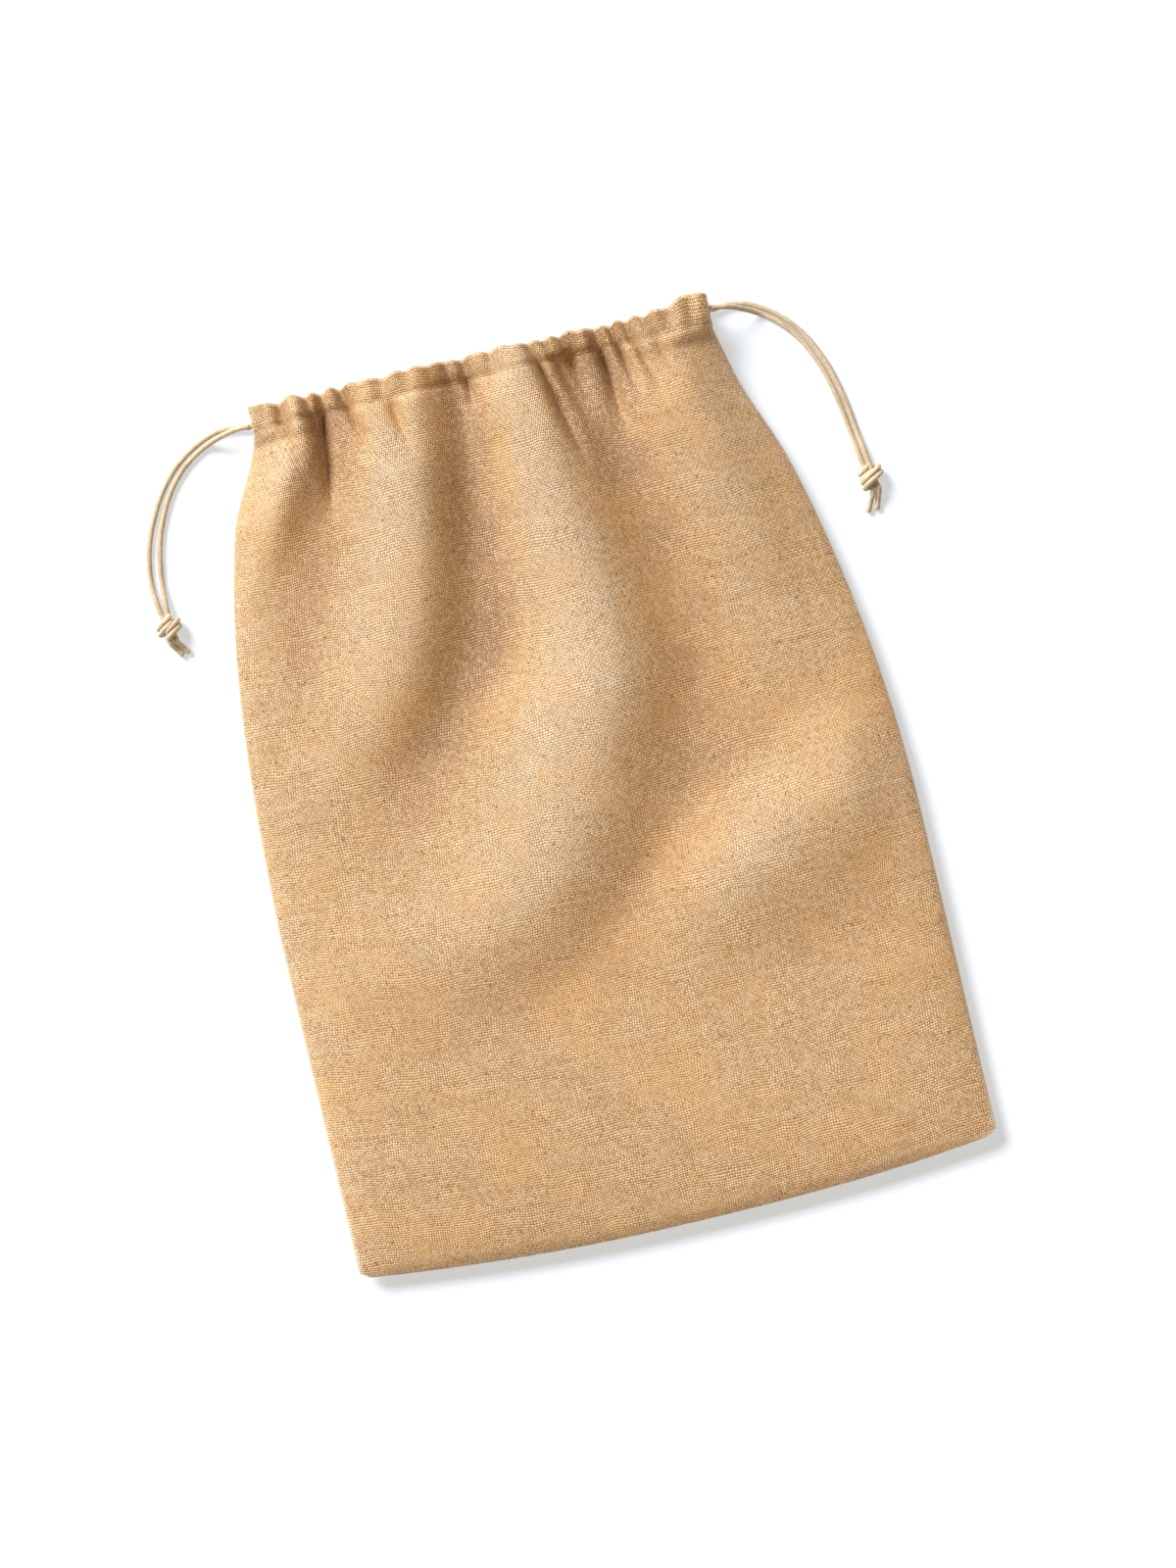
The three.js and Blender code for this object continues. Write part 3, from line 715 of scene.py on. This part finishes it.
def pleat_depth(x, distance, pleats=PLEATS):
    """How far the creases take the cloth down, at points given as X and distance from the mouth."""
    depth = np.zeros(np.broadcast(x, distance).shape)
    for start, end, length, deep, width in pleats:
        share = np.clip(distance / length, 0, 1.6)
        middle = start + (end - start) * share
        fade = 1 - smoothstep(distance, 0.45 * length, 1.5 * length)
        spread = width * (1 + 0.9 * share)
        offset = (x - middle) / spread
        depth += deep * fade * np.exp(-np.abs(offset) ** 1.4)
    return depth


def soft_folds(x, y):
    """Height of the soft folds, each falling away over its own width on either side of its crest.

    The painted light and shade that comes with it is above nought on a crest, as a painted highlight,
    and below it, as painted shade, in the hollow alongside, which starts close to the crest on its
    right, where the cloth turns down more sharply and away from the key light.
    """
    total = np.zeros(np.broadcast(x, y).shape)
    painted_light_and_shade = np.zeros(total.shape)
    for crest, left, right, height in FOLDS:
        line = smooth_curve(crest, 5)
        keys = np.linspace(0, 1, len(crest))
        shares = np.linspace(0, 1, len(line))
        facts = np.stack([np.interp(shares, keys, values) for values in (left, right, height)])
        nearest = np.full(total.shape, np.inf)
        value = np.zeros(total.shape)
        light_and_shade_wave = np.zeros(total.shape)
        for index in range(len(line) - 1):
            run = line[index + 1] - line[index]
            dx = x - line[index, 0]
            dy = y - line[index, 1]
            share = np.clip((dx * run[0] + dy * run[1]) / (run @ run), 0, 1)
            dx = dx - share * run[0]
            dy = dy - share * run[1]
            gap = np.hypot(dx, dy)
            to_right = (dy * run[0] - dx * run[1]) / np.maximum(gap * math.hypot(*run), 1e-6)
            left_width, right_width, rise = (
                start + (end - start) * share for start, end in zip(facts[:, index], facts[:, index + 1])
            )
            width = right_width + (left_width - right_width) * (1 - smoothstep(to_right, -0.8, 0.8))
            reach = gap / width
            shape = 0.5 + 0.5 * np.cos(math.pi * np.clip(reach, 0, 1))
            closer = gap < nearest
            value = np.where(closer, rise * shape, value)
            # Painted light and shade: a highlight over the crest that falls quickly into shade on the right
            # slope, the side turned from the key light.
            sharpness = np.where(to_right > 0, 0.6, 1.6)
            swing = np.cos(math.pi * np.clip(reach, 0, 1) ** sharpness) * (1 - smoothstep(reach, 1, 1.5))
            light_and_shade_wave = np.where(closer, rise * swing, light_and_shade_wave)
            nearest = np.where(closer, gap, nearest)
        total += value
        painted_light_and_shade += light_and_shade_wave
    return softened(total, FOLD_SOFTENING), softened(painted_light_and_shade, LIGHT_PAINT_SOFTENING)


def softened(values, passes):
    """A grid of values with each one drawn towards its neighbours."""
    for _ in range(passes):
        padded = np.pad(values, 1, mode="edge")
        values = (padded[:-2, 1:-1] + padded[2:, 1:-1] + padded[1:-1, :-2] + padded[1:-1, 2:]) / 8
        values = values + padded[1:-1, 1:-1] / 2
    return values


def layer_z(c, x, y, distance, front):
    """Height of the middle of the front or back cloth, and its painted light and shade: highlights over 0,
    shade under it.
    """
    to_bottom = np.clip((bottom_edge(c) - distance) / BOTTOM_TAPER, 0, 1)
    open_edge = 1 - smoothstep(distance, SEAM_OPEN, SEAM_CLOSED)
    power = LOFT_POWER + (MOUTH_LOFT_POWER - LOFT_POWER) * open_edge
    from_sides = np.sqrt(np.clip(1 - np.abs(c) ** power, 0, 1))
    from_bottom = np.sqrt(np.clip(1 - (1 - to_bottom) ** 2, 0, 1))
    loft = from_sides * from_bottom
    if not front:
        edge = SEAM_HEIGHT - SEAM_GAP - CLOTH / 2
        edge = edge + (BACK_CHANNEL_Z + 1.6 - edge) * open_edge
        fall = np.minimum(1, 1.25 * loft)
        return edge - (edge - CLOTH / 2 - 0.05) * fall, np.zeros(fall.shape)
    edge = SEAM_HEIGHT + SEAM_GAP + CLOTH / 2
    edge = edge + (FRONT_CHANNEL_Z + 1.1 - edge) * open_edge
    crest = FRONT_CHANNEL_Z + CHANNEL_DEPTH / 2 + PUFF
    belly = SEAM_HEIGHT + BELLY_RISE
    middle = crest + (belly - crest) * smoothstep(distance, CHANNEL_HEIGHT, BELLY_DISTANCE)
    pinch = PINCH * np.exp(-((distance - STITCH_DISTANCE) / 1.7) ** 2)
    bulge = BULGE * np.sin(0.42 * x + 1.3 * np.sin(0.13 * x)) * (1 - smoothstep(distance, 8, 18))
    below = smoothstep(distance, CHANNEL_HEIGHT - 4, CHANNEL_HEIGHT + 4)

    # In the casing a crease can go no deeper than the cords.
    creases = pleat_depth(x, distance)
    limit = crest - FRONT_CHANNEL_Z - CORD_RADIUS - CLOTH / 2 - 0.1
    in_casing = limit * (1 - np.exp(-1.7 * creases / limit))
    creases = in_casing + (creases - in_casing) * below
    creases = creases + pleat_depth(x, distance, HOLLOWS) * smoothstep(distance, 5, 16)

    # Slack cloth stays flatter near the seams, and waves where they pull it in.
    room = smoothstep(1 - np.abs(c), 0.0, 0.20) * smoothstep(to_bottom, 0.0, 0.5)
    folds, painted_light_and_shade = soft_folds(x, y)
    pucker = 0.35 * np.sin(y * 0.31 + 1.7 * np.sin(y * 0.07)) * smoothstep(np.abs(c), 0.9, 0.99)
    height = edge + (middle - edge) * loft + folds * room + pucker * loft
    height = height - (creases + pinch - bulge) * np.minimum(1, 2 * loft)
    return height, painted_light_and_shade * room * FOLD_HIGHLIGHT_PAINT - creases * CREASE_SHADE_PAINT


def mouth_edge(x):
    """How far the mouth's edge stands out: scallops between the creases, and an ear on the right."""
    creases = pleat_depth(x, 2.0)
    scallop = -0.9 - 2.7 * creases / (creases + 2.0) + 0.35 * np.sin(0.61 * x + np.sin(0.17 * x))
    ear = EAR * smoothstep(x, 84, 101) * (1 - 0.45 * smoothstep(x, 103, HALF_MOUTH))
    return scallop + ear


def cloth_distances():
    """Distances from the mouth edge of the cloth's rows: close together in the gathers."""
    gathers = np.linspace(0, 1, 44) ** 1.25 * CLOSE_ROWS
    body = CLOSE_ROWS + np.linspace(0, 1, 132)[1:] ** 0.97 * (POUCH_LENGTH - CLOSE_ROWS)
    return np.concatenate([gathers, body])


def cloth_grid(front, columns):
    """A panel with its turned-in casing, as grids: middle-surface points, cloth uvs and painted light and
    shade.
    """
    even = np.linspace(-1, 1, columns)
    c = np.sin(even * math.pi / 2) * 0.35 + even * 0.65
    distance = cloth_distances()[:, None] * bottom_edge(c) / POUCH_LENGTH
    x, y = laid_out(c, distance)
    y = y + mouth_edge(x) * np.exp(-((distance / 9.0) ** 2))
    z, painted_light_and_shade = layer_z(c, x, y, distance, front)
    outer = np.stack([x, y, z], axis=-1)
    painted_light_and_shade = np.vstack([np.zeros((TURNED_ROWS, columns)), painted_light_and_shade])

    # The mouth edge is a fold: the cloth rolls over it and runs back inside as the casing.
    side = 1 if front else -1
    channel_z = FRONT_CHANNEL_Z if front else BACK_CHANNEL_Z
    half_depth = CHANNEL_DEPTH / 2 - CLOTH / 2
    inner_z = channel_z - side * half_depth
    first = outer[0]
    x = c * half_width(0.0)
    turned = []
    for distance in TURNED_DISTANCES:
        lift = STITCH_LIFT * math.exp(-((distance - STITCH_DISTANCE - 1) / 2.2) ** 2)
        y = MOUTH_Y - distance + mouth_edge(x) * 0.3
        turned.append(np.stack([x * 0.997, y, np.full_like(x, inner_z + side * lift)], axis=-1))
    for angle in np.linspace(-ROLL_SWEEP, ROLL_SWEEP, ROLL_ROWS):
        radians = math.radians(angle)
        reach = ROLL_RADIUS * math.cos(radians)
        share = (math.sin(radians) + 1) / 2
        y = first[:, 1] + reach - ROLL_RADIUS * math.cos(math.radians(ROLL_SWEEP)) - ROLL_INSET
        z = inner_z + (first[:, 2] - inner_z) * share
        turned.append(np.stack([x, y, z], axis=-1))
    points = np.vstack([np.array(turned), outer])

    # Cloth coordinates: lengths along the surface, held to the cut width at the side seams.
    across = np.linalg.norm(np.diff(points, axis=1), axis=2)
    travelled = np.concatenate([np.zeros((len(points), 1)), np.cumsum(across, axis=1)], axis=1)
    u = (travelled / travelled[:, -1:] - 0.5) * 2 * HALF_POUCH
    down = np.linalg.norm(np.diff(points, axis=0), axis=2).mean(axis=1)
    v = np.concatenate([[0], np.cumsum(down)])[:, None] * np.ones(points.shape[1])
    return points, np.stack([u, v if front else v + BACK_CLOTH], axis=-1), painted_light_and_shade


def grid_normals(points):
    """Unit normals of a grid of points, up where its rows run down and its columns to the right."""
    down = np.gradient(points, axis=0)
    right = np.gradient(points, axis=1)
    return unit(np.cross(down, right))


def closed_sheet(points, uvs, normals, thickness):
    """A grid of points as a sheet with two faces and a round rim, with a normal for each vertex."""
    rows, columns = points.shape[:2]
    count = rows * columns
    flat_points = points.reshape(-1, 3)
    flat_uvs = uvs.reshape(-1, 2)
    flat_normals = normals.reshape(-1, 3)
    half = flat_normals * thickness / 2
    index = np.arange(count).reshape(rows, columns)
    a = index[:-1, :-1].ravel()
    b = index[1:, :-1].ravel()
    c = index[1:, 1:].ravel()
    d = index[:-1, 1:].ravel()
    faces = np.stack([a, b, c, d], axis=1).tolist()
    faces += (np.stack([a, d, c, b], axis=1) + count).tolist()
    ring = np.concatenate([index[0, :-1], index[:-1, -1], index[-1, :0:-1], index[:0:-1, 0]])
    along = np.roll(flat_points[ring], -1, axis=0) - np.roll(flat_points[ring], 1, axis=0)
    outwards = unit(np.cross(flat_normals[ring], along))
    vertices = [flat_points + half, flat_points - half]
    facing = [flat_normals, -flat_normals]
    bands = [ring]
    for band, angle in enumerate((50, 0, -50)):
        lean = math.radians(angle)
        aim = outwards * math.cos(lean) + flat_normals[ring] * math.sin(lean)
        vertices.append(flat_points[ring] + aim * thickness / 2)
        facing.append(aim)
        bands.append(2 * count + band * len(ring) + np.arange(len(ring)))
    bands.append(ring + count)
    for band, following in zip(bands, bands[1:]):
        after = np.roll(band, -1)
        faces += np.stack([band, after, np.roll(following, -1), following], axis=1).tolist()
    return (
        np.vstack(vertices),
        faces,
        np.vstack([flat_uvs, flat_uvs] + [flat_uvs[ring]] * 3),
        np.vstack(facing),
    )


# ---- Cloth pieces ----

# A cord's turn lies at the far corner of the mouth. The back's columns run from right to left, so each
# half of the back is cut from the columns on the other side.
OTHER = {"left": "right", "right": "left"}
SIGN = {"left": -1, "right": 1}


def follow_cord(piece):
    """Bakes a piece's placement into its mesh."""
    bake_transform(piece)


def half_columns(grid, side):
    """The columns of a grid on one side of its middle one, which both halves keep."""
    middle = grid.shape[1] // 2
    return grid[:, :middle + 1] if side == "left" else grid[:, middle:]


def add_cloth(name, front, columns, nodes):
    """Both halves of a panel. Returns the grid of points that they were made from.

    The back cloth faces down, so its columns run from right to left.
    """
    grid, uvs, painted_light_and_shade = cloth_grid(front, columns)
    points = grid
    normals = grid_normals(grid)
    if not front:
        points = points[:, ::-1]
        uvs = uvs[:, ::-1]
        painted_light_and_shade = painted_light_and_shade[:, ::-1]
        normals = -normals[:, ::-1]
    for side in SIGN:
        part = side if front else OTHER[side]
        sheet = closed_sheet(
            half_columns(points, part), half_columns(uvs, part), half_columns(normals, part), CLOTH
        )
        piece = make_object(f"{side}_half_of_{name}", *sheet)
        # The painted light and shade, kept on each vertex for the jute's colour.
        values = np.zeros(len(piece.data.vertices))
        both_faces = np.tile(half_columns(painted_light_and_shade, part).ravel(), 2)
        values[:len(both_faces)] = both_faces
        layer = piece.data.attributes.new("painted_light_and_shade", "FLOAT", "POINT")
        layer.data.foreach_set("value", values)
        finish_piece(piece, JUTE, "jute_cloth", *nodes)
        follow_cord(piece)
    return grid


# ---- Seams: allowances, stitches and bar tacks ----


def allowance_grid(edge, inwards):
    """A strip along a line of seam points, with a wavy raw edge on its inner side."""
    length = lengths_along(edge)
    across = np.linspace(0, 1, 8)
    fray = 0.35 * np.sin(length * 1.9) + 0.3 * np.sin(length * 0.83 + 1)
    reach = ALLOWANCE_INSET + ALLOWANCE_WIDTH * across[:, None] + fray * across[:, None] ** 4
    points = edge + inwards * reach[:, :, None]
    points[:, :, 2] += 0.5 * np.sin(length * 0.21) * across[:, None] ** 2
    return points, np.stack([reach, np.broadcast_to(length, reach.shape)], axis=-1)


def add_allowance(name, edge, inwards, side=None):
    """Side allowances are baked in place, as the cloth is. The bottom one stays with the pouch."""
    points, uvs = allowance_grid(edge, inwards)
    normals = grid_normals(points)
    piece = make_object(f"{name}_turned_edge", *closed_sheet(points, uvs, normals, ALLOWANCE_THICKNESS))
    finish_piece(piece, TURNING, "jute_cloth", f"{name}_seam_allowance")
    if side:
        follow_cord(piece)
    else:
        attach(piece, "pouch")


def stitches(line):
    """A row of stitches along a line in the cloth. Each one's ends go down into the cloth."""
    travelled = lengths_along(line)
    parts = []
    start = STITCH_GAP
    while start + STITCH_LENGTH < travelled[-1]:
        along = start + STITCH_LENGTH * np.linspace(0, 1, 6)
        points = np.stack([np.interp(along, travelled, line[:, axis]) for axis in range(3)], axis=1)
        sunk = np.array([0.75, 0.1, 0, 0, 0.1, 0.75]) * THREAD_RADIUS * 1.6
        points[:, 2] += CLOTH / 2 + THREAD_RADIUS * 0.3 - sunk
        parts.append(tube_mesh(points, THREAD_RADIUS, 6))
        start += STITCH_LENGTH + STITCH_GAP
    return joined(parts)


def add_stitches(name, line, node, side=None):
    """Stitches baked in place as the cloth is, or kept with the pouch along the bottom."""
    piece = make_object(name, *stitches(line))
    finish_piece(piece, THREAD, "sewing_thread", node)
    if side:
        follow_cord(piece)
    else:
        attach(piece, "pouch")


def add_bar_tack(side, front, back):
    """Thread wrapped round both edges of the cloth where the side seam stops."""
    column = 0 if side == "left" else -1
    parts = []
    for wrap in range(TACK_WRAPS):
        y = MOUTH_Y - CHANNEL_HEIGHT - 0.9 - wrap * 2 * THREAD_RADIUS * 1.05
        edges = [grid[TURNED_ROWS:, column] for grid in (front, back)]
        front_x, back_x = [np.interp(-y, -edge[:, 1], edge[:, 0]) for edge in edges]
        front_z, back_z = [np.interp(-y, -edge[:, 1], edge[:, 2]) for edge in edges]
        x = (front_x + back_x) / 2 - SIGN[side] * TACK_REACH
        z = (front_z + back_z) / 2
        tall = (front_z - back_z) / 2 + CLOTH / 2 + THREAD_RADIUS
        wide = TACK_REACH + THREAD_RADIUS
        loop = [
            (x + wide * math.cos(angle), y - angle / math.pi * THREAD_RADIUS, z + tall * math.sin(angle))
            for angle in np.linspace(0, 2 * math.pi, 26)
        ]
        parts.append(tube_mesh(loop, THREAD_RADIUS, 7))
    piece = make_object(f"{side}_tack_wraps", *joined(parts))
    finish_piece(piece, THREAD, "sewing_thread", f"{side}_bar_tack")
    follow_cord(piece)


def seam_edge(x, y):
    """Points along a seam, at the height where the front and back cloth meet."""
    return np.stack([x, y, np.full_like(x, SEAM_HEIGHT)], axis=1)


def add_seams(front, back):
    """Everything that is sewn. Its places come from the front and back cloth's grids."""
    stitch_row = TURNED_ROWS + np.argmin(np.abs(cloth_distances() - STITCH_DISTANCE))
    turned_stitch_row = TURNED_DISTANCES.index(STITCH_DISTANCE)
    on_allowance = ALLOWANCE_THICKNESS / 2 - CLOTH / 2
    for side, sign in SIGN.items():
        lowest = POUCH_LENGTH - BOTTOM_BOW - ALLOWANCE_WIDTH - ALLOWANCE_END_GAP
        edge = seam_edge(*laid_out(float(sign), np.linspace(ALLOWANCE_START, lowest, 260)))
        inwards = np.array([-sign, 0, 0])
        add_allowance(side, edge, inwards, side)
        line = edge + inwards * (ALLOWANCE_INSET + SEAM_STITCH_INSET) + [0, 0, on_allowance]
        add_stitches(f"{side}_seam_stitches", line, f"{side}_side_stitching", side)
        add_bar_tack(side, front, back)
        line = half_columns(front, side)[stitch_row]
        add_stitches(f"{side}_front_casing_stitches", line, "front_casing_stitching", side)
        line = half_columns(back, side)[turned_stitch_row]
        add_stitches(f"{side}_back_casing_stitches", line, "back_casing_stitching", side)

    c = np.linspace(-0.93, 0.93, 300)
    edge = seam_edge(*laid_out(c, bottom_edge(c)))
    add_allowance("bottom", edge, np.array([0, 1, 0]))
    line = edge + [0, ALLOWANCE_INSET + SEAM_STITCH_INSET, on_allowance]
    add_stitches("bottom_seam_stitches", line, "bottom_stitching")


# ---- Light and floor ----

FLOOR_REACH = 3000  # each way from the middle


def add_lights():
    """A large soft key from the upper left of the picture, and warm fill all round."""
    world = bpy.data.worlds.new("studio")
    world.use_nodes = True
    background = world.node_tree.nodes["Background"]
    background.inputs["Color"].default_value = (1.0, 0.72, 0.44, 1)
    background.inputs["Strength"].default_value = 0.34
    bpy.context.scene.world = world
    key = bpy.data.lights.new("key", "SUN")
    key.energy = 4.9
    key.angle = math.radians(30)
    key.color = (1.0, 0.99, 0.97)
    holder = bpy.data.objects.new("key", key)
    place = Vector((-0.62, 1.0, 0.78))
    holder.location = place
    holder.rotation_euler = (-place).to_track_quat("-Z", "Y").to_euler()
    bpy.context.scene.collection.objects.link(holder)


def add_floor():
    """A plain white floor, whose own faint light keeps the shadows on it pale."""
    vertices = [(x * FLOOR_REACH, y * FLOOR_REACH, 0) for x, y in ((-1, -1), (1, -1), (1, 1), (-1, 1))]
    floor = make_object("floor", vertices, [(0, 1, 2, 3)], [(0, 0), (1, 0), (1, 1), (0, 1)])
    material = bpy.data.materials.new("floor")
    material.use_nodes = True
    shader = material.node_tree.nodes["Principled BSDF"]
    shader.inputs["Base Color"].default_value = (0.60, 0.68, 0.84, 1)
    shader.inputs["Roughness"].default_value = 0.9
    shader.inputs["Emission Color"].default_value = (0.89, 0.955, 1.0, 1)
    shader.inputs["Emission Strength"].default_value = 0.46
    floor.data.materials.append(material)


add_camera()
for cord_name, cord_facts in CORDS.items():
    add_drawcord(cord_name, cord_facts)
front_grid = add_cloth("front", True, 301, ["front_panel", "front_casing"])
back_grid = add_cloth("back", False, 161, ["back_panel", "back_casing"])
add_seams(front_grid, back_grid)
add_lights()
add_floor()

bpy.context.scene.view_settings.view_transform = "Standard"
